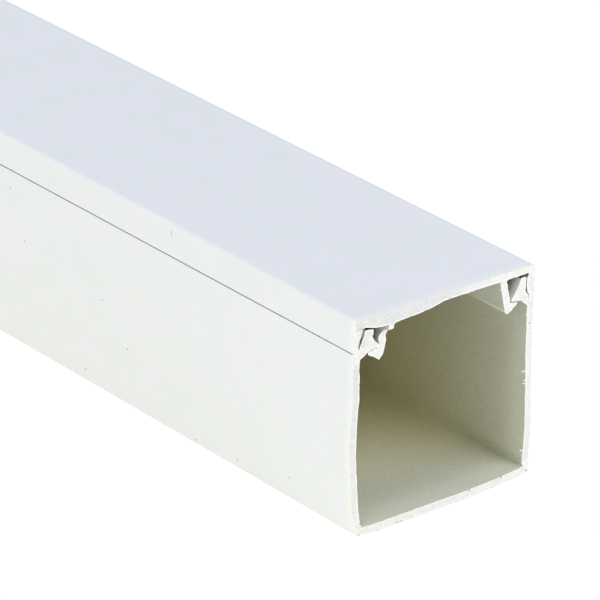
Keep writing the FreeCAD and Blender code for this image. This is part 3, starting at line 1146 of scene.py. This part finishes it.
class RACEWAY_OT_lid(bpy.types.Operator):
    """Makes the lid with its skirts, hooked legs and sawn ends"""

    bl_idname = "raceway.lid"
    bl_label = "Make lid"

    def execute(self, context):
        settings = context.scene.raceway
        corners = both_sides(lid_half(settings.sizes))
        drags = SAW_DRAGS["lid"]
        blades = [sliver(lid_cut, *numbers) for numbers in LEG_SLIVERS]
        mesh, skin_faces = extruded_mesh(
            "lid_shell", corners, settings.cut, lid_cut, drags, LID_SEED, blades)
        assign_skins(mesh, skin_faces, settings.sizes)
        sawn = sawn_plastic("sawn_lid", settings.plastic, LID_SAWN_SHADES, LID_SAWN_BEND)
        materials = plastics(settings.plastic, sawn)
        finish_piece(mesh, "lid_shell", "lid", ["lid"], materials)
        return {"FINISHED"}


class RACEWAY_OT_stage(bpy.types.Operator):
    """Sets the camera, the white floor and the soft lights"""

    bl_idname = "raceway.stage"
    bl_label = "Set stage"

    def execute(self, context):
        stage = context.scene.raceway.stage
        set_camera(context, stage)
        set_floor(context, stage)
        set_lights(context, stage)
        context.scene.view_settings.view_transform = "Standard"
        return {"FINISHED"}


def set_camera(context, stage):
    """Camera at the photograph's place, turned to its target."""
    data = bpy.data.cameras.new("photo_camera")
    data.sensor_width = 36.0
    data.lens = stage.lens
    data.clip_start = 0.05
    data.clip_end = 100.0
    camera = bpy.data.objects.new("photo_camera", data)
    context.scene.collection.objects.link(camera)
    place = Vector(stage.camera_place)
    aim = (Vector(stage.camera_target) - place).to_track_quat("-Z", "Y")
    camera.rotation_mode = "QUATERNION"
    camera.rotation_quaternion = aim @ Quaternion((0, 0, 1), stage.camera_roll)
    camera.location = place
    context.scene.camera = camera


def set_floor(context, stage):
    """One wide white floor."""
    half = stage.floor_size / 2
    mesh = bpy.data.meshes.new("floor")
    corners = [(-half, -half, 0), (half, -half, 0), (half, half, 0), (-half, half, 0)]
    mesh.from_pydata(corners, [], [(0, 1, 2, 3)])
    mesh.materials.append(floor_material(stage))
    floor = bpy.data.objects.new("floor", mesh)
    context.scene.collection.objects.link(floor)


def add_sun(context, name, toward, strength, colour, spread):
    """A wide soft sun that shines from a direction."""
    data = bpy.data.lights.new(name, "SUN")
    data.energy = strength
    data.color = colour
    data.angle = spread
    sun = bpy.data.objects.new(name, data)
    sun.rotation_mode = "QUATERNION"
    sun.rotation_quaternion = Vector(toward).to_track_quat("Z", "Y")
    context.scene.collection.objects.link(sun)


# Soft lamps: the direction they shine from, their strength, colour, and spread in degrees.
LAMPS = {
    "top": ((0.0, 0.0, 1.0), 0.37, (0.4, 0.4, 1.0), 90),
    "left_high": ((-0.3, -0.75, 0.6), 1.22, (1.0, 0.96, 0.904), 70),
    "left_low": ((0.45, -0.9, 0.2), 0.36, (1.0, 1.0, 0.4), 60),
    "front_high": ((0.8, 0.0, 0.6), 0.5, (1.0, 0.85, 0.25), 50),
    "front_right": ((0.8, 0.5, 0.4), 1.65, (0.79, 0.86, 1.0), 50),
}


def set_lights(context, stage):
    """Even light from all round, and the soft lamps."""
    world = bpy.data.worlds.new("studio")
    context.scene.world = world
    world.use_nodes = True
    tree = world.node_tree
    tree.nodes.clear()
    soft = tree.nodes.new("ShaderNodeBackground")
    soft.inputs["Color"].default_value = rgba(stage.ambient)
    white = tree.nodes.new("ShaderNodeBackground")
    white.inputs["Color"].default_value = (1, 1, 1, 1)
    paths = tree.nodes.new("ShaderNodeLightPath")
    mixed = tree.nodes.new("ShaderNodeMixShader")
    out = tree.nodes.new("ShaderNodeOutputWorld")
    tree.links.new(paths.outputs["Is Camera Ray"], mixed.inputs[0])
    tree.links.new(soft.outputs[0], mixed.inputs[1])
    tree.links.new(white.outputs[0], mixed.inputs[2])
    tree.links.new(mixed.outputs[0], out.inputs["Surface"])
    for name, (toward, strength, colour, spread) in LAMPS.items():
        add_sun(context, name, toward, strength * stage.light_level, colour, math.radians(spread))


class RACEWAY_PT_panel(bpy.types.Panel):
    """Lists the steps that make the raceway"""

    bl_idname = "RACEWAY_PT_panel"
    bl_label = "Cord cover raceway"
    bl_space_type = "VIEW_3D"
    bl_region_type = "UI"
    bl_category = "Raceway"

    def draw(self, context):
        for operator in OPERATORS:
            self.layout.operator(operator.bl_idname)
        settings = context.scene.raceway
        for group in (settings.sizes, settings.cut, settings.plastic, settings.stage):
            box = self.layout.box()
            for name in group.bl_rna.properties.keys():
                if name not in ("rna_type", "name"):
                    box.prop(group, name)


OPERATORS = (RACEWAY_OT_channel, RACEWAY_OT_lid, RACEWAY_OT_stage)
CLASSES = (StockSizes, CutLook, PlasticLook, StageLook, RacewaySettings, *OPERATORS, RACEWAY_PT_panel)


def register():
    for cls in CLASSES:
        bpy.utils.register_class(cls)
    bpy.types.Scene.raceway = PointerProperty(type=RacewaySettings)


def unregister():
    del bpy.types.Scene.raceway
    for cls in reversed(CLASSES):
        bpy.utils.unregister_class(cls)


def main():
    """Registers the classes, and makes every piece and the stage."""
    register()
    bpy.ops.raceway.channel()
    bpy.ops.raceway.lid()
    bpy.ops.raceway.stage()


if __name__ == "__main__":
    main()
